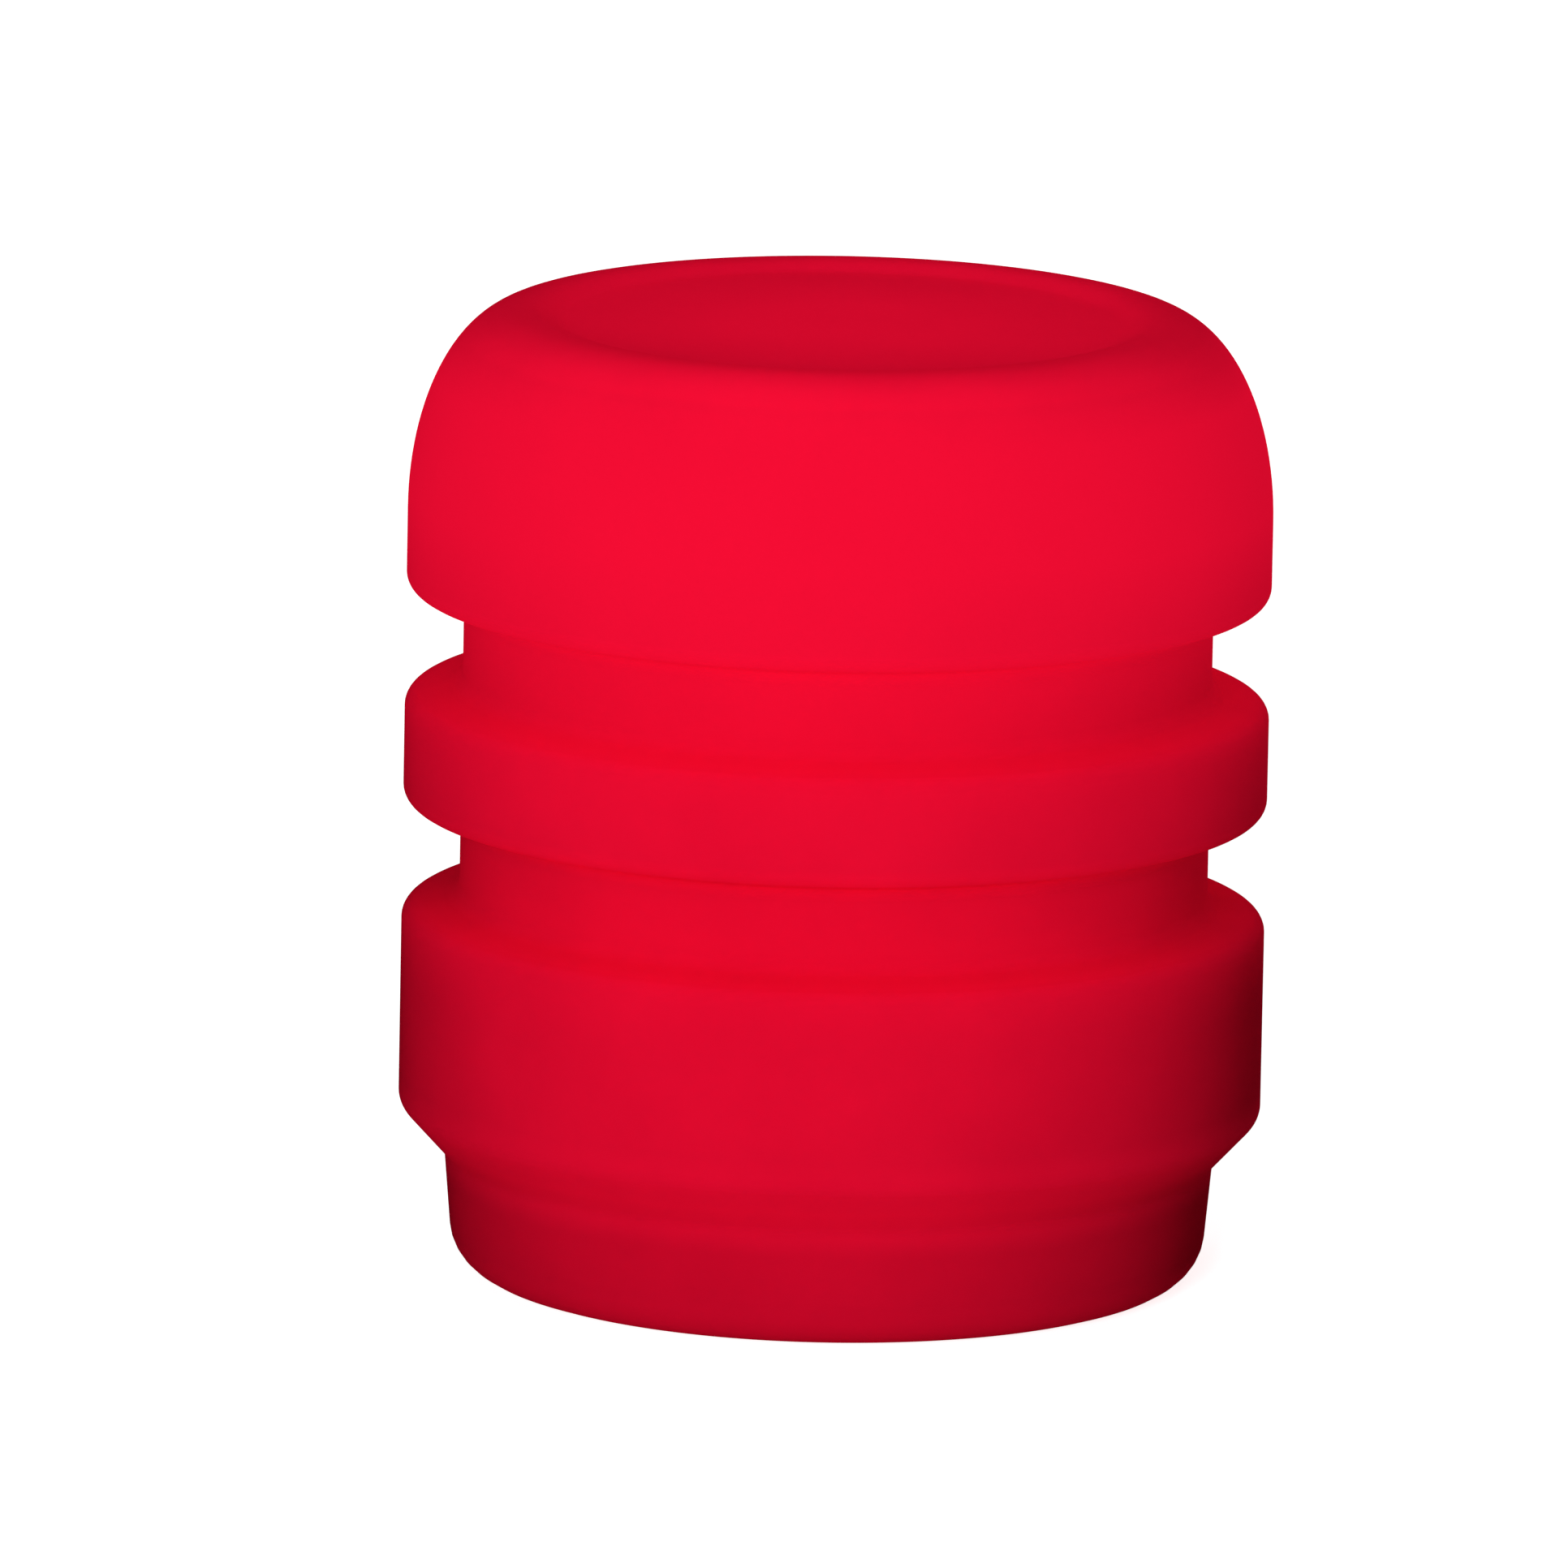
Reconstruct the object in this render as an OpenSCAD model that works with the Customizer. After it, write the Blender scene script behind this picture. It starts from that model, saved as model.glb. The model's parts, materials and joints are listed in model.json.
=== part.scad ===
// Tyre valve cap: one red plastic moulding, turned about the Z axis, with two grip grooves,
// and the rubber washer that seals it on the end of the valve stem.
// Origin: centre of the mouth rim. +Z runs up the axis to the closed top. Millimetres.

/* [Body] */
// Outside diameter of the body
body_d = 12; // [11.6:0.1:14]
// Height from the mouth rim to the top
cap_h = 13.55; // [13.4:0.05:16]

/* [Top] */
// Height over which the shoulder rounds in
shoulder_h = 2.8; // [1.8:0.1:3]
// Width of the shoulder, measured inwards
shoulder_w = 1.5; // [1:0.1:2]
// Flat land between the shoulder and the dished top
land_w = 0.15; // [0.1:0.05:0.4]
// Depth of the dished top
dish_depth = 0.12; // [0.05:0.01:0.3]
// Width of the sloping wall of the dish
dish_slope_w = 0.5; // [0.3:0.05:0.8]

/* [Grooves] */
// Number of grip grooves
groove_count = 2; // [1:1:2]
// Height of the middle of the lower groove
groove_z = 5.9; // [5.4:0.1:6.1]
// Distance from one groove to the next
groove_pitch = 3; // [2.6:0.1:3.2]
// Depth of a groove
groove_depth = 0.8; // [0.4:0.05:0.9]
// Width of the floor of a groove
groove_floor_w = 1.15; // [0.8:0.05:1.3]
// Width that each wall of a groove leans out
groove_lean = 0.2; // [0.1:0.05:0.35]
// Radius on the outer edges of a groove
groove_edge_r = 0.22; // [0.05:0.01:0.22]
// Radius in the corners of a groove
groove_root_r = 0.25; // [0.05:0.01:0.3]

/* [Neck] */
// Diameter of the neck where it meets the body
neck_d = 10.7; // [10.6:0.1:11]
// Diameter of the neck at the mouth rim
rim_d = 10.4; // [10.4:0.1:10.6]
// Height of the neck
neck_h = 1.7; // [1.2:0.1:2.2]
// Radius on the outside of the mouth rim
rim_r = 0.7; // [0.2:0.05:0.7]
// Height of the bevel from the neck to the body
bevel_h = 0.7; // [0.5:0.05:0.9]
// Radius on the edge between the bevel and the body
bevel_edge_r = 0.3; // [0.1:0.05:0.4]
// Radius in the corner between the neck and the bevel
bevel_root_r = 0.25; // [0.1:0.05:0.4]

/* [Bore] */
// Diameter of the threaded bore, across the roots of the valve thread
thread_d = 7.8; // [7.6:0.05:8]
// Length of the threaded bore
thread_h = 8; // [7:0.1:8.4]
// Diameter of the lead-in at the mouth
mouth_d = 8.7; // [8.4:0.05:9]
// Height of the lead-in
mouth_h = 0.6; // [0.3:0.05:0.9]
// Diameter of the pocket that holds the washer
seat_d = 8.2; // [8.1:0.05:8.6]
// Height of the pocket that holds the washer
seat_h = 1.4; // [1.3:0.05:1.7]

/* [Washer] */
// Thickness of the washer
washer_t = 1.2; // [0.8:0.05:1.25]
// Diameter of the hole in the washer, clear of the valve core's pin
washer_hole_d = 4.2; // [3.6:0.1:5]
// Radial gap between the washer and its pocket
washer_gap = 0.05; // [0.02:0.01:0.1]
// Radius on the edges of the washer
washer_edge_r = 0.15; // [0.05:0.01:0.3]

/* [Hidden] */
$fn = 128;

// Steps in each rounded corner, and in the larger curve of the shoulder
CORNER_STEPS = 5;
SHOULDER_STEPS = 18;
// What a cut runs past the face it opens through
CUT_OVER = 1;

shoulder_z = cap_h - shoulder_h;
bevel_top_z = neck_h + bevel_h;
thread_top_z = mouth_h + thread_h;
bore_top_z = thread_top_z + seat_h;
groove_floor_r = body_d / 2 - groove_depth;
top_r = body_d / 2 - shoulder_w;
dish_r = top_r - land_w;

function unit(v) = v / norm(v);

// The shorter way round from one angle to another
function turn(from, to) = to - from - 360 * round((to - from) / 360);

// Points that round the corner b of the line a-b-c with radius r
function corner(a, b, c, r) =
    let (to_a = unit(a - b))
    let (to_c = unit(c - b))
    let (half = acos(to_a * to_c) / 2)
    let (centre = b + unit(to_a + to_c) * r / sin(half))
    let (start = b + to_a * r / tan(half) - centre)
    let (finish = b + to_c * r / tan(half) - centre)
    let (from = atan2(start[1], start[0]))
    let (sweep = turn(from, atan2(finish[1], finish[0])))
    [for (i = [0 : CORNER_STEPS])
        centre + r * [cos(from + sweep * i / CORNER_STEPS), sin(from + sweep * i / CORNER_STEPS)]];

function spot(p) = [p[0], p[1]];

// A line of [radius, height, corner radius] points, with its corners rounded
function rounded(line) = [
    for (i = [0 : len(line) - 1])
        each (i == 0 || i == len(line) - 1 || line[i][2] == 0)
            ? [spot(line[i])]
            : corner(spot(line[i - 1]), spot(line[i]), spot(line[i + 1]), line[i][2])
];

// The four corners of one groove, from the bottom up
function groove(z) =
    let (floor_half = groove_floor_w / 2)
    let (mouth_half = floor_half + groove_lean)
    [
        [body_d / 2, z - mouth_half, groove_edge_r],
        [groove_floor_r, z - floor_half, groove_root_r],
        [groove_floor_r, z + floor_half, groove_root_r],
        [body_d / 2, z + mouth_half, groove_edge_r]
    ];

// Neck, bevel and grooves, from the mouth rim up to the foot of the shoulder
function side_line() = [
    [0, 0, 0],
    [rim_d / 2, 0, rim_r],
    [neck_d / 2, neck_h, bevel_root_r],
    [body_d / 2, bevel_top_z, bevel_edge_r],
    for (i = [0 : groove_count - 1]) each groove(groove_z + i * groove_pitch),
    [body_d / 2, shoulder_z, 0]
];

// A quarter of an ellipse from the side of the body to the top land
function shoulder_line() = [
    for (i = [1 : SHOULDER_STEPS])
        let (a = 90 * i / SHOULDER_STEPS)
        [top_r + shoulder_w * cos(a), shoulder_z + shoulder_h * sin(a)]
];

// The shallow dish in the top: its wall falls along half a wave, from the land to the floor
function dish_line() = [
    for (i = [0 : CORNER_STEPS])
        let (t = i / CORNER_STEPS)
        [dish_r - dish_slope_w * t, cap_h - dish_depth * (1 - cos(180 * t)) / 2],
    [0, cap_h - dish_depth]
];

module outside() {
    rotate_extrude()
        polygon(concat(rounded(side_line()), shoulder_line(), dish_line()));
}

// The blind bore: lead-in, threaded length and the wider pocket behind it for the washer
module bore() {
    translate([0, 0, -CUT_OVER])
        cylinder(d = thread_d, h = CUT_OVER + thread_top_z + seat_h / 2);
    rotate_extrude()
        polygon([
            [0, -CUT_OVER],
            [mouth_d / 2 + CUT_OVER * (mouth_d - thread_d) / 2 / mouth_h, -CUT_OVER],
            [thread_d / 2, mouth_h],
            [0, mouth_h]
        ]);
    translate([0, 0, thread_top_z])
        cylinder(d = seat_d, h = seat_h);
}

module cap_body() {
    color([0.96, 0.05, 0.18])
        difference() {
            outside();
            bore();
        }
}

module sealing_washer() {
    outer_r = seat_d / 2 - washer_gap;
    inner_r = washer_hole_d / 2;
    low_z = bore_top_z - washer_t;
    section = [
        [(outer_r + inner_r) / 2, low_z, 0],
        [outer_r, low_z, washer_edge_r],
        [outer_r, bore_top_z, 0],
        [inner_r, bore_top_z, 0],
        [inner_r, low_z, washer_edge_r],
        [(outer_r + inner_r) / 2, low_z, 0]
    ];
    color([0.09, 0.09, 0.1])
        rotate_extrude()
            polygon(rounded(section));
}

cap_body();
sealing_washer();
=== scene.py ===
"""Tyre valve cap: looks, camera and light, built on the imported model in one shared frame."""
import json
import math
import operator

import bmesh
import bpy
from mathutils import Matrix, Vector


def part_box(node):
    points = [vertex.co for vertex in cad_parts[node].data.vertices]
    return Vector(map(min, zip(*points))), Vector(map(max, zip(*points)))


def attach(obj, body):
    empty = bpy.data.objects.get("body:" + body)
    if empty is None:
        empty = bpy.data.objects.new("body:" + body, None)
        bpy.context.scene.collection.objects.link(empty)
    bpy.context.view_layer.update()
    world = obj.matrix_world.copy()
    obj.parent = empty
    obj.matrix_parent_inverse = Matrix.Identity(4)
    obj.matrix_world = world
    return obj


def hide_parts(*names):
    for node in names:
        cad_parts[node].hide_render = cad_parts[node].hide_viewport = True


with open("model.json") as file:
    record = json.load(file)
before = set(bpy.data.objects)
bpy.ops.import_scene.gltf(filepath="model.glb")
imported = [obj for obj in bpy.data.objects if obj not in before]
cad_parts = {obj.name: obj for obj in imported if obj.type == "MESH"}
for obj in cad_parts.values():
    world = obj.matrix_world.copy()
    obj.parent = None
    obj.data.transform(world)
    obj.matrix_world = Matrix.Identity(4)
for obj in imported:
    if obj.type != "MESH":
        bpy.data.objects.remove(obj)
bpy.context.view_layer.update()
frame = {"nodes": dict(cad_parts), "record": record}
MM = 0.001

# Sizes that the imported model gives, in millimetres
CAP_LOW, CAP_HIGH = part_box("cap_body")
BODY_R = (CAP_HIGH[0] - CAP_LOW[0]) / 2 / MM
CAP_H = (CAP_HIGH[2] - CAP_LOW[2]) / MM
BORE_TOP_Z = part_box("sealing_washer")[1][2] / MM
THREAD = next(m for m in frame["record"]["mounts"] if m["name"] == "valve_thread")
THREAD_ROOT_R = THREAD["dims"]["r_mm"]
THREAD_LENGTH = THREAD["dims"]["length_mm"]

# Shape of the moulding, in millimetres
SHOULDER_H = 2.8
SHOULDER_W = 1.5
LAND_W = 0.15
DISH_DEPTH = 0.12
DISH_SLOPE_W = 0.5
GROOVE_Z = 5.9
GROOVE_PITCH = 3.0
GROOVE_COUNT = 2
GROOVE_DEPTH = 0.8
GROOVE_FLOOR_W = 1.15
GROOVE_LEAN = 0.2
GROOVE_EDGE_R = 0.22
GROOVE_ROOT_R = 0.25
NECK_R = 5.35
RIM_OUTER_R = 5.2
NECK_H = 1.7
RIM_ROUND_R = 0.7
BEVEL_H = 0.7
BEVEL_EDGE_R = 0.3
BEVEL_ROOT_R = 0.25
MOUTH_R = 4.35
MOUTH_H = 0.6
MOUTH_EDGE_R = 0.12
SEAT_R = 4.1
SEAT_EDGE_R = 0.12

# Valve thread 8V1: 32 threads to the inch, right-handed. It rises from nothing over the run at either end;
# the shares are those of half a pitch that its flat crest and root take
THREAD_PITCH = 25.4 / 32
THREAD_CREST_R = 3.475
THREAD_RUN = 0.9
THREAD_CREST_SHARE = 0.22
THREAD_ROOT_SHARE = 0.2
ROWS_PER_PITCH = 14
ROOT_TOLERANCE = 0.01

# Emission by height in mm, which stands for the luminous pigment and also paints in light: a little on the mouth
# rim and the bevel, which face down, none low on the body, and from there rising to the solid head, so that the
# head is painted brighter than the lower body
GLOW_AND_PAINTED_LIGHT_BY_HEIGHT = [
    (0, 0.14), (0.25, 0.08), (0.6, 0.0), (1.4, 0.0), (1.75, 0.05), (2.1, 0.09), (2.3, 0.09), (2.5, 0.05),
    (2.8, 0.0), (4.0, 0.0), (6.4, 0.1), (7.4, 0.16), (8.5, 0.21), (9.9, 0.45), (11.0, 0.6), (12.6, 0.6),
    (13.0, 0.44), (13.2, 0.34), (13.4, 0.2), (13.55, 0.15),
]
# Painted light on the closed end, lightest in its middle: a factor on the emission by distance from the axis in mm
PAINTED_LIGHT_BY_RADIUS = [
    (0, 1.7), (1.5, 1.65), (3.0, 1.4), (3.8, 1.27), (4.2, 1.15), (4.6, 0.93), (5.0, 0.97), (6.0, 1.0),
]
# Painted shade, as a factor on the pigment's colour by height in mm: darker on the neck, and least in the head,
# where the emission gives the brightness instead
PAINTED_SHADE_BY_HEIGHT = [
    (0, 0.8), (0.8, 0.73), (1.3, 0.73), (1.6, 0.83), (2.0, 0.98), (2.4, 0.88), (3.9, 0.92), (5.0, 0.86),
    (7.1, 0.81), (8.5, 0.68), (9.9, 0.53), (11.0, 0.38), (12.6, 0.38), (13.1, 0.64), (13.35, 0.92), (13.55, 1.02),
]
# Painted light and shade that even out the grooves' relief. Over a groove, by height from its middle in mm: a
# factor on the pigment's colour, lighter at the edges and the upper root, where shade falls, and darker on the
# floor; and painted light that is added over the floor and the upper root
GROOVE_PAINTED_SHADE = [
    (-0.9, 0.96), (-0.72, 1.05), (-0.58, 0.9), (-0.45, 0.85), (0.4, 0.85), (0.58, 1.05), (0.78, 1.23), (1.0, 1.03),
    (1.2, 1.0),
]
GROOVE_PAINTED_LIGHT = [(-0.85, 0.0), (-0.55, 0.06), (0.45, 0.06), (0.6, 0.09), (0.8, 0.01), (1.0, 0.0)]

# The bore has one even level of each, up to a margin in mm past its walls
BORE_SCATTER = 0.9
BORE_GLOW = 0.02
BORE_MARGIN = 0.05

# Colours, in linear RGB
PIGMENT_DARK = (0.86, 0.0034, 0.031)
PIGMENT_LIGHT = (0.93, 0.004, 0.034)
GLOW_COLOUR = (1.0, 0.0045, 0.037, 1)
RUBBER_DARK = (0.012, 0.012, 0.013)
RUBBER_DUSTY = (0.035, 0.034, 0.034)
WHITE = (1, 1, 1, 1)

# How far red, green and blue light spread in the plastic: shares of the depth, and the depth in mm
SPREAD_SHARES = (1.0, 0.5, 0.55)
SPREAD_DEPTH = 1.5

# Noise, in features per metre, and the depth of the grain in mm
MOTTLE_SCALE = 450
PLASTIC_GRAIN_SCALE = 2600
PLASTIC_GRAIN_DEPTH = 0.006
DUST_SCALE = 1500
RUBBER_GRAIN_SCALE = 6000
RUBBER_GRAIN_DEPTH = 0.01
# The part of a noise's range over which a colour ramp runs
RAMP_START = 0.3
RAMP_END = 0.7
# Lowest and highest roughness
PLASTIC_ROUGHNESS = (0.38, 0.55)
RUBBER_ROUGHNESS = (0.6, 0.85)

# Mesh density: counts, and the longest stretch in mm
SEGMENTS = 256
CORNER_STEPS = 7
SHOULDER_STEPS = 30
DISH_STEPS = 12
RING_STEPS = 10
LONGEST_STEP = 0.5

# The photograph's view: the camera's height over the horizon and its lean in degrees, where the cap's middle
# lies in the picture, and the nearest distance that is drawn, in metres
FRAME_PX = 1932
VIEW_ELEVATION = 11.3
VIEW_LEAN = 1.1
VIEW_DISTANCE_IN_RADII = 60.0
RADIUS_PX = 532.2
MIDDLE_PX = (1029.1, 978.3)
SENSOR_MM = 36.0
CLIP_START = 0.001

# The floor lies a hair below the mouth rim, so that the two faces don't coincide; gap in mm, side in m
FLOOR_GAP = 0.02
FLOOR_SIDE = 3.0
# The floor looks white, but throws little light back on the cap
FLOOR_GREY = (0.16, 0.16, 0.16, 1)
FLOOR_SEEN = (0.9, 0.9, 0.9, 1)
FLOOR_LIFT = 0.83

# The lamps' distance from the cap, and their side, in metres
LAMP_DISTANCE = 0.2
LAMP_SIZE = 0.05


def unit(v):
    return v.normalized()


def corner_points(before, corner, after, radius):
    """Points that round one corner of an outline."""
    to_before = unit(before - corner)
    to_after = unit(after - corner)
    half = math.acos(max(-1.0, min(1.0, to_before.dot(to_after)))) / 2
    centre = corner + unit(to_before + to_after) * (radius / math.sin(half))
    reach = radius / math.tan(half)
    start = corner + to_before * reach - centre
    finish = corner + to_after * reach - centre
    first = math.atan2(start.y, start.x)
    sweep = math.atan2(finish.y, finish.x) - first
    sweep -= 2 * math.pi * round(sweep / (2 * math.pi))
    angles = [first + sweep * i / CORNER_STEPS for i in range(CORNER_STEPS + 1)]
    return [centre + radius * Vector((math.cos(a), math.sin(a))) for a in angles]


def rounded(line):
    """Round the corners of a line of (radius, height, corner radius) points."""
    spots = [Vector((r, z)) for r, z, _ in line]
    points = []
    for i, (_, _, radius) in enumerate(line):
        if radius and 0 < i < len(line) - 1:
            points += corner_points(spots[i - 1], spots[i], spots[i + 1], radius)
        else:
            points.append(spots[i])
    return points


def subdivided(points):
    """Split long stretches, so that no facet is much longer than LONGEST_STEP."""
    result = [points[0]]
    for a, b in zip(points, points[1:]):
        pieces = max(1, math.ceil((b - a).length / LONGEST_STEP))
        result += [a.lerp(b, k / pieces) for k in range(1, pieces + 1)]
    return result


def groove_line(z):
    """The four corners of one grip groove, from the bottom up."""
    floor_half = GROOVE_FLOOR_W / 2
    mouth_half = floor_half + GROOVE_LEAN
    floor_r = BODY_R - GROOVE_DEPTH
    return [
        (BODY_R, z - mouth_half, GROOVE_EDGE_R),
        (floor_r, z - floor_half, GROOVE_ROOT_R),
        (floor_r, z + floor_half, GROOVE_ROOT_R),
        (BODY_R, z + mouth_half, GROOVE_EDGE_R),
    ]


def outside_line():
    """Outline from the mouth's lead-in, round the rim and up the side, to the middle of the top."""
    shoulder_z = CAP_H - SHOULDER_H
    side = [(THREAD_ROOT_R, MOUTH_H, 0), (MOUTH_R, 0, MOUTH_EDGE_R), (RIM_OUTER_R, 0, RIM_ROUND_R)]
    side += [(NECK_R, NECK_H, BEVEL_ROOT_R), (BODY_R, NECK_H + BEVEL_H, BEVEL_EDGE_R)]
    for i in range(GROOVE_COUNT):
        side += groove_line(GROOVE_Z + i * GROOVE_PITCH)
    side.append((BODY_R, shoulder_z, 0))
    points = rounded(side)
    top_r = BODY_R - SHOULDER_W
    for i in range(1, SHOULDER_STEPS + 1):
        a = math.pi / 2 * i / SHOULDER_STEPS
        points.append(Vector((top_r + SHOULDER_W * math.cos(a), shoulder_z + SHOULDER_H * math.sin(a))))
    dish_r = top_r - LAND_W
    for i in range(DISH_STEPS + 1):
        t = i / DISH_STEPS
        drop = DISH_DEPTH * (1 - math.cos(math.pi * t)) / 2
        points.append(Vector((dish_r - DISH_SLOPE_W * t, CAP_H - drop)))
    floor_r = dish_r - DISH_SLOPE_W
    for i in range(1, RING_STEPS):
        points.append(Vector((floor_r * (1 - i / RING_STEPS), CAP_H - DISH_DEPTH)))
    return subdivided(points)


def bore_line():
    """Outline from the middle of the bore's end, through the washer's pocket, down the threaded wall."""
    thread_top = MOUTH_H + THREAD_LENGTH
    points = [Vector((SEAT_R * i / RING_STEPS, BORE_TOP_Z)) for i in range(1, RING_STEPS)]
    points += rounded([
        (SEAT_R * (RING_STEPS - 1) / RING_STEPS, BORE_TOP_Z, 0),
        (SEAT_R, BORE_TOP_Z, SEAT_EDGE_R),
        (SEAT_R, thread_top, SEAT_EDGE_R),
        (THREAD_ROOT_R, thread_top, SEAT_EDGE_R / 2),
        (THREAD_ROOT_R, thread_top - 2 * SEAT_EDGE_R, 0),
    ])[1:]
    top = points[-1].y
    rows = round((top - MOUTH_H) / THREAD_PITCH * ROWS_PER_PITCH)
    points += [Vector((THREAD_ROOT_R, top + (MOUTH_H - top) * i / rows)) for i in range(1, rows)]
    return points


def smooth_step(t):
    """An even rise from 0 to 1 with soft ends."""
    t = max(0.0, min(1.0, t))
    return t * t * (3 - 2 * t)


def thread_height(z, angle):
    """How far the valve thread stands in from its root, at a height and an angle round the bore."""
    thread_top = MOUTH_H + THREAD_LENGTH
    run = smooth_step((z - MOUTH_H) / THREAD_RUN) * smooth_step((thread_top - z) / THREAD_RUN)
    phase = (z / THREAD_PITCH - angle / (2 * math.pi)) % 1.0
    from_crest = abs(phase - 0.5) * 2
    flank = (1 - THREAD_ROOT_SHARE - from_crest) / (1 - THREAD_ROOT_SHARE - THREAD_CREST_SHARE)
    return (THREAD_ROOT_R - THREAD_CREST_R) * run * smooth_step(flank)


def cap_mesh():
    """The whole moulding as one closed mesh: rings round the axis, joined by quads, with two poles."""
    bore = bore_line()
    outside = outside_line()
    rings = [(p, True) for p in bore] + [(p, False) for p in outside]
    thread_top = MOUTH_H + THREAD_LENGTH
    bm = bmesh.new()
    grid = []
    for p, in_bore in rings:
        row = []
        for s in range(SEGMENTS):
            a = 2 * math.pi * s / SEGMENTS
            r = p.x
            if in_bore and p.y < thread_top and p.x > THREAD_ROOT_R - ROOT_TOLERANCE:
                r -= thread_height(p.y, a)
            row.append(bm.verts.new((r * math.cos(a) * MM, r * math.sin(a) * MM, p.y * MM)))
        grid.append(row)
    for low, high in zip(grid, grid[1:]):
        for s in range(SEGMENTS):
            t = (s + 1) % SEGMENTS
            bm.faces.new((low[s], low[t], high[t], high[s]))
    bore_pole = bm.verts.new((0, 0, BORE_TOP_Z * MM))
    top_pole = bm.verts.new((0, 0, (CAP_H - DISH_DEPTH) * MM))
    for s in range(SEGMENTS):
        t = (s + 1) % SEGMENTS
        bm.faces.new((bore_pole, grid[0][t], grid[0][s]))
        bm.faces.new((top_pole, grid[-1][s], grid[-1][t]))
    bmesh.ops.recalc_face_normals(bm, faces=bm.faces)
    mesh = bpy.data.meshes.new("cap_moulding")
    bm.to_mesh(mesh)
    bm.free()
    for polygon in mesh.polygons:
        polygon.use_smooth = True
    return mesh


def new_material(name):
    """A node material with its Principled shader."""
    material = bpy.data.materials.new(name)
    material.use_nodes = True
    tree = material.node_tree
    return material, tree.nodes, tree.links, tree.nodes["Principled BSDF"]


def noise(nodes, links, scale, detail):
    """Object-space noise; scale is in features per metre."""
    place = nodes.new("ShaderNodeTexCoord")
    texture = nodes.new("ShaderNodeTexNoise")
    texture.inputs["Scale"].default_value = scale
    texture.inputs["Detail"].default_value = detail
    links.new(place.outputs["Object"], texture.inputs["Vector"])
    return texture.outputs["Fac"]


def ramp(nodes, links, value, low, high):
    """A colour ramp from low to high, fed by a noise."""
    node = nodes.new("ShaderNodeValToRGB")
    node.color_ramp.elements[0].position = RAMP_START
    node.color_ramp.elements[0].color = (*low, 1)
    node.color_ramp.elements[1].position = RAMP_END
    node.color_ramp.elements[1].color = (*high, 1)
    links.new(value, node.inputs["Fac"])
    return node.outputs["Color"]


def spread(nodes, links, value, low, high):
    """Map a 0 to 1 value to the range from low to high."""
    node = nodes.new("ShaderNodeMapRange")
    node.inputs["To Min"].default_value = low
    node.inputs["To Max"].default_value = high
    links.new(value, node.inputs["Value"])
    return node.outputs["Result"]


def product(nodes, links, a, b):
    """Two colours or levels multiplied."""
    node = nodes.new("ShaderNodeMix")
    node.data_type = "RGBA"
    node.blend_type = "MULTIPLY"
    node.inputs["Factor"].default_value = 1.0
    links.new(a, node.inputs["A"])
    links.new(b, node.inputs["B"])
    return node.outputs["Result"]


def bump(nodes, links, height, shader, distance):
    """Relief on a shader, from a 0 to 1 height; distance is the depth in metres."""
    node = nodes.new("ShaderNodeBump")
    node.inputs["Distance"].default_value = distance
    node.inputs["Strength"].default_value = 1.0
    links.new(height, node.inputs["Height"])
    links.new(node.outputs["Normal"], shader.inputs["Normal"])


def level_at(stops, place):
    """The level between the stops, each (place, level)."""
    for (low, low_level), (high, high_level) in zip(stops, stops[1:]):
        if low <= place <= high:
            return low_level + (high_level - low_level) * (place - low) / (high - low)
    return stops[0][1] if place < stops[0][0] else stops[-1][1]


def over_grooves(stops, change, combine):
    """Levels by height, combined over each groove with a change by height from its middle."""
    middles = [GROOVE_Z + i * GROOVE_PITCH for i in range(GROOVE_COUNT)]
    heights = {height for height, _ in stops} | {m + offset for m in middles for offset, _ in change}
    result = []
    for height in sorted(heights):
        level = level_at(stops, height)
        for middle in middles:
            if change[0][0] <= height - middle <= change[-1][0]:
                level = combine(level, level_at(change, height - middle))
        result.append((height, level))
    return result


def by_distance(nodes, links, distance, stops, longest):
    """A grey level that changes with a distance; stops are (distance in mm, level), up to the longest."""
    share = nodes.new("ShaderNodeMapRange")
    share.inputs["From Max"].default_value = longest * MM
    curve = nodes.new("ShaderNodeValToRGB")
    elements = curve.color_ramp.elements
    while len(elements) < len(stops):
        elements.new(1.0)
    for element, (place, level) in zip(elements, stops):
        element.position = place / longest
        element.color = (level, level, level, 1)
    links.new(distance, share.inputs["Value"])
    links.new(share.outputs["Result"], curve.inputs["Fac"])
    return curve.outputs["Color"]


def places(nodes, links):
    """Height over the mouth rim and distance from the axis, of the point that is shaded."""
    place = nodes.new("ShaderNodeTexCoord")
    split = nodes.new("ShaderNodeSeparateXYZ")
    flat = nodes.new("ShaderNodeVectorMath")
    flat.operation = "MULTIPLY"
    flat.inputs[1].default_value = (1, 1, 0)
    length = nodes.new("ShaderNodeVectorMath")
    length.operation = "LENGTH"
    links.new(place.outputs["Object"], split.inputs["Vector"])
    links.new(place.outputs["Object"], flat.inputs[0])
    links.new(flat.outputs["Vector"], length.inputs[0])
    return split.outputs["Z"], length.outputs["Value"]


def below(nodes, links, value, limit):
    """1 where the value is below the limit, 0 elsewhere."""
    node = nodes.new("ShaderNodeMath")
    node.operation = "LESS_THAN"
    node.inputs[1].default_value = limit
    links.new(value, node.inputs[0])
    return node.outputs["Value"]


def outside_bore(nodes, links, height, from_axis):
    """0 on the wall and the end of the bore, 1 on the rest of the moulding."""
    low = below(nodes, links, height, (BORE_TOP_Z + BORE_MARGIN) * MM)
    near = below(nodes, links, from_axis, (MOUTH_R + BORE_MARGIN) * MM)
    both = nodes.new("ShaderNodeMath")
    both.operation = "MULTIPLY"
    links.new(low, both.inputs[0])
    links.new(near, both.inputs[1])
    return spread(nodes, links, both.outputs["Value"], 1.0, 0.0)


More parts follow.
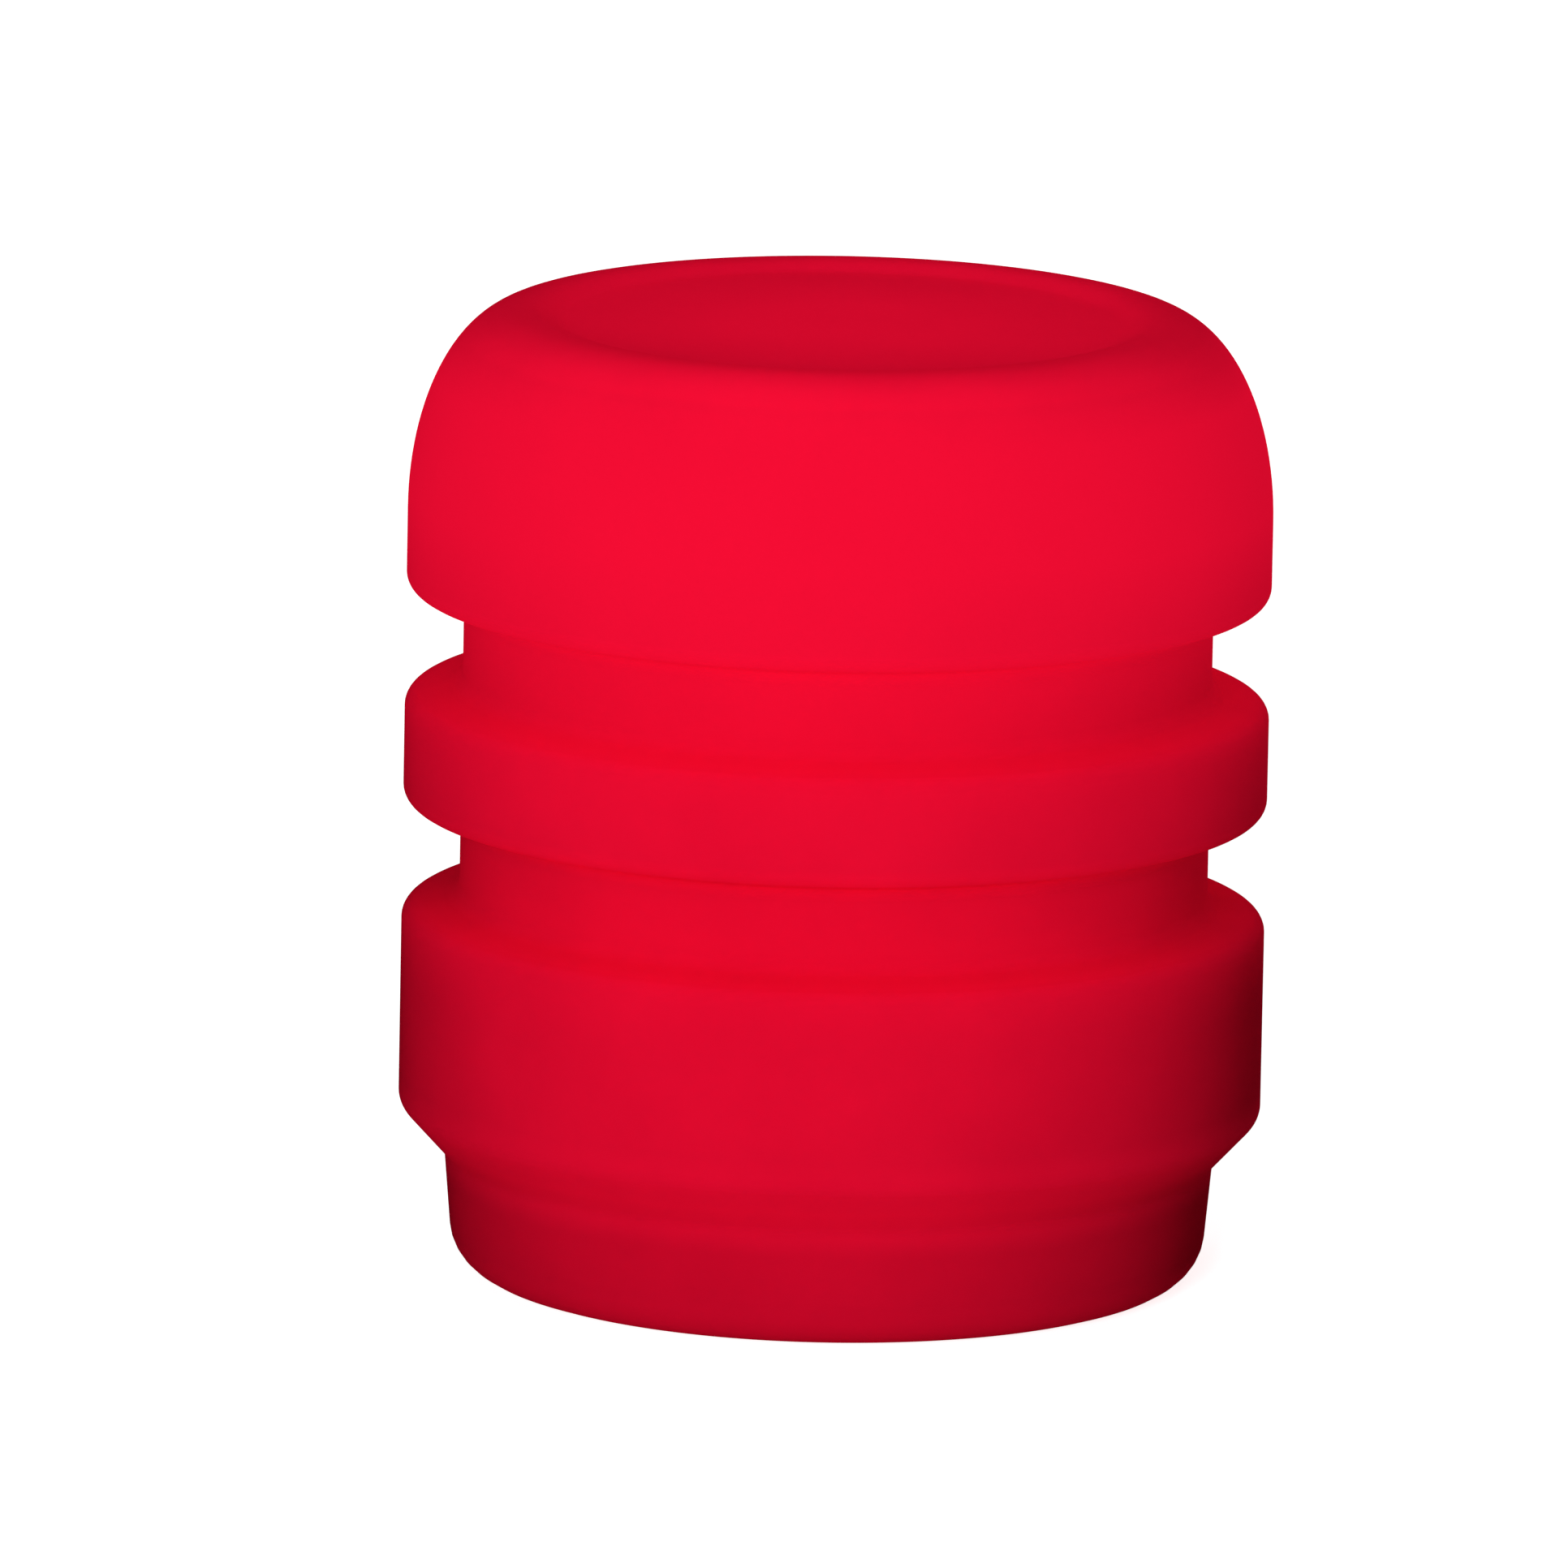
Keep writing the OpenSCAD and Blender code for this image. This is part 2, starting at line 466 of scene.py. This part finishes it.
def chosen(nodes, links, choice, level, other):
    """The level where the choice is 1, the other level where it is 0."""
    node = nodes.new("ShaderNodeMix")
    node.data_type = "RGBA"
    node.inputs["A"].default_value = (other, other, other, 1)
    links.new(choice, node.inputs["Factor"])
    links.new(level, node.inputs["B"])
    return node.outputs["Result"]


def luminous_plastic_and_painted_light():
    """Red luminous plastic that scatters light deep in the wall, with painted shade in its colour and painted
    light in its emission, by height, over the grooves and across the top.
    """
    material, nodes, links, shader = new_material("luminous_red_plastic_and_painted_light")
    height, from_axis = places(nodes, links)
    outer = outside_bore(nodes, links, height, from_axis)
    pigment = ramp(nodes, links, noise(nodes, links, MOTTLE_SCALE, detail=3), PIGMENT_DARK, PIGMENT_LIGHT)
    # Emission for the luminous pigment, with painted light on the mouth rim, the bevel, the head, the top's middle
    # and over the grooves
    painted_light_stops = over_grooves(GLOW_AND_PAINTED_LIGHT_BY_HEIGHT, GROOVE_PAINTED_LIGHT, operator.add)
    glow_and_painted_light = product(nodes, links, by_distance(nodes, links, height, painted_light_stops, CAP_H),
                   by_distance(nodes, links, from_axis, PAINTED_LIGHT_BY_RADIUS, BODY_R))
    # Painted shade in the pigment's colour, by height and over the grooves
    painted_shade_stops = over_grooves(PAINTED_SHADE_BY_HEIGHT, GROOVE_PAINTED_SHADE, operator.mul)
    painted_shade = chosen(nodes, links, outer, by_distance(nodes, links, height, painted_shade_stops, CAP_H), BORE_SCATTER)
    links.new(product(nodes, links, pigment, painted_shade), shader.inputs["Base Color"])
    shader.subsurface_method = "BURLEY"
    links.new(outer, shader.inputs["Subsurface Weight"])
    shader.inputs["Subsurface Radius"].default_value = SPREAD_SHARES
    shader.inputs["Subsurface Scale"].default_value = SPREAD_DEPTH * MM
    shader.inputs["Specular IOR Level"].default_value = 0.0
    shader.inputs["Emission Color"].default_value = GLOW_COLOUR
    links.new(chosen(nodes, links, outer, glow_and_painted_light, BORE_GLOW), shader.inputs["Emission Strength"])
    material.cycles.emission_sampling = "NONE"
    grain = noise(nodes, links, PLASTIC_GRAIN_SCALE, detail=5)
    links.new(spread(nodes, links, grain, *PLASTIC_ROUGHNESS), shader.inputs["Roughness"])
    bump(nodes, links, grain, shader, PLASTIC_GRAIN_DEPTH * MM)
    return material


def seal_rubber():
    """Matt black moulded rubber with a fine grain and a little dust."""
    material, nodes, links, shader = new_material("seal_rubber")
    dust = noise(nodes, links, DUST_SCALE, detail=4)
    links.new(ramp(nodes, links, dust, RUBBER_DARK, RUBBER_DUSTY), shader.inputs["Base Color"])
    grain = noise(nodes, links, RUBBER_GRAIN_SCALE, detail=4)
    links.new(spread(nodes, links, grain, *RUBBER_ROUGHNESS), shader.inputs["Roughness"])
    bump(nodes, links, grain, shader, RUBBER_GRAIN_DEPTH * MM)
    return material


def build_cap():
    """The moulding with its valve thread, in place of the plain solid."""
    cap = bpy.data.objects.new("cap_moulding", cap_mesh())
    bpy.context.scene.collection.objects.link(cap)
    cap.data.materials.append(luminous_plastic_and_painted_light())
    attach(cap, "root")
    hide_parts("cap_body")


def dress_washer():
    """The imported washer, in rubber."""
    washer = frame["nodes"]["sealing_washer"]
    washer.data.materials.clear()
    washer.data.materials.append(seal_rubber())


def place_camera():
    """A long lens at the photograph's height and lean, aimed at the middle of the cap."""
    elevation = math.radians(VIEW_ELEVATION)
    lean = math.radians(VIEW_LEAN)
    target = Vector((0, 0, CAP_H / 2 * MM))
    forward = Vector((0, math.cos(elevation), -math.sin(elevation)))
    up = Vector((0, math.sin(elevation), math.cos(elevation)))
    right = Vector((1, 0, 0))
    lean_right = right * math.cos(lean) + up * math.sin(lean)
    lean_up = up * math.cos(lean) - right * math.sin(lean)
    distance = VIEW_DISTANCE_IN_RADII * BODY_R * MM
    lens = bpy.data.cameras.new("camera")
    lens.sensor_width = SENSOR_MM
    lens.lens = SENSOR_MM * RADIUS_PX * VIEW_DISTANCE_IN_RADII / FRAME_PX
    lens.shift_x = (FRAME_PX / 2 - MIDDLE_PX[0]) / FRAME_PX
    lens.shift_y = (MIDDLE_PX[1] - FRAME_PX / 2) / FRAME_PX
    lens.clip_start = CLIP_START
    camera = bpy.data.objects.new("camera", lens)
    turn = Matrix((lean_right, lean_up, -forward)).transposed()
    camera.matrix_world = Matrix.Translation(target - forward * distance) @ turn.to_4x4()
    bpy.context.scene.collection.objects.link(camera)
    bpy.context.scene.camera = camera


def soft_lamp(name, azimuth, elevation, level):
    """A square soft light aimed at the cap. Level 1 lights a white face to white."""
    a = math.radians(azimuth)
    e = math.radians(elevation)
    away = Vector((math.sin(a) * math.cos(e), -math.cos(a) * math.cos(e), math.sin(e)))
    light = bpy.data.lights.new(name, "AREA")
    light.size = LAMP_SIZE
    light.energy = level * (math.pi * LAMP_DISTANCE) ** 2
    lamp = bpy.data.objects.new(name, light)
    lamp.location = Vector((0, 0, CAP_H / 2 * MM)) + away * LAMP_DISTANCE
    lamp.rotation_euler = away.to_track_quat("Z", "Y").to_euler()
    bpy.context.scene.collection.objects.link(lamp)


def high_sun(spread_angle, level):
    """Even light from above, which lights the floor to white and gives the cap its contact shadow."""
    light = bpy.data.lights.new("overhead", "SUN")
    light.angle = math.radians(spread_angle)
    light.energy = level * math.pi
    lamp = bpy.data.objects.new("overhead", light)
    bpy.context.scene.collection.objects.link(lamp)


def seen_directly(nodes, links):
    """1 for rays from the camera or through a mirror or glass, 0 for rays that light the scene."""
    path = nodes.new("ShaderNodeLightPath")
    total = path.outputs["Is Camera Ray"]
    for name in ("Is Glossy Ray", "Is Transmission Ray"):
        add = nodes.new("ShaderNodeMath")
        add.operation = "MAXIMUM"
        links.new(total, add.inputs[0])
        links.new(path.outputs[name], add.inputs[1])
        total = add.outputs[0]
    return total


def white_world(ambient):
    """White where the camera sees it, and an even dim light on the cap."""
    world = bpy.data.worlds.new("world")
    bpy.context.scene.world = world
    world.use_nodes = True
    nodes, links = world.node_tree.nodes, world.node_tree.links
    background = nodes["Background"]
    background.inputs["Color"].default_value = WHITE
    links.new(spread(nodes, links, seen_directly(nodes, links), ambient, 1.0),
              background.inputs["Strength"])


def white_floor():
    """A white floor that keeps the cap's shadow and throws little light back on it."""
    bpy.ops.mesh.primitive_plane_add(size=FLOOR_SIDE, location=(0, 0, -FLOOR_GAP * MM))
    floor = bpy.context.object
    floor.name = "floor"
    material, nodes, links, shader = new_material("floor_white")
    seen = seen_directly(nodes, links)
    mix = nodes.new("ShaderNodeMix")
    mix.data_type = "RGBA"
    mix.inputs["A"].default_value = FLOOR_GREY
    mix.inputs["B"].default_value = FLOOR_SEEN
    links.new(seen, mix.inputs["Factor"])
    links.new(mix.outputs["Result"], shader.inputs["Base Color"])
    shader.inputs["Roughness"].default_value = 1.0
    shader.inputs["Specular IOR Level"].default_value = 0.0
    shader.inputs["Emission Color"].default_value = WHITE
    links.new(spread(nodes, links, seen, 0.0, FLOOR_LIFT), shader.inputs["Emission Strength"])
    material.cycles.emission_sampling = "NONE"
    floor.data.materials.append(material)


place_camera()
white_world(ambient=0.02)
white_floor()
soft_lamp("key", azimuth=-10, elevation=11, level=0.81)
soft_lamp("rear", azimuth=155, elevation=5, level=0.32)
high_sun(spread_angle=60, level=0.2)
build_cap()
dress_washer()
bpy.context.scene.view_settings.view_transform = "Standard"
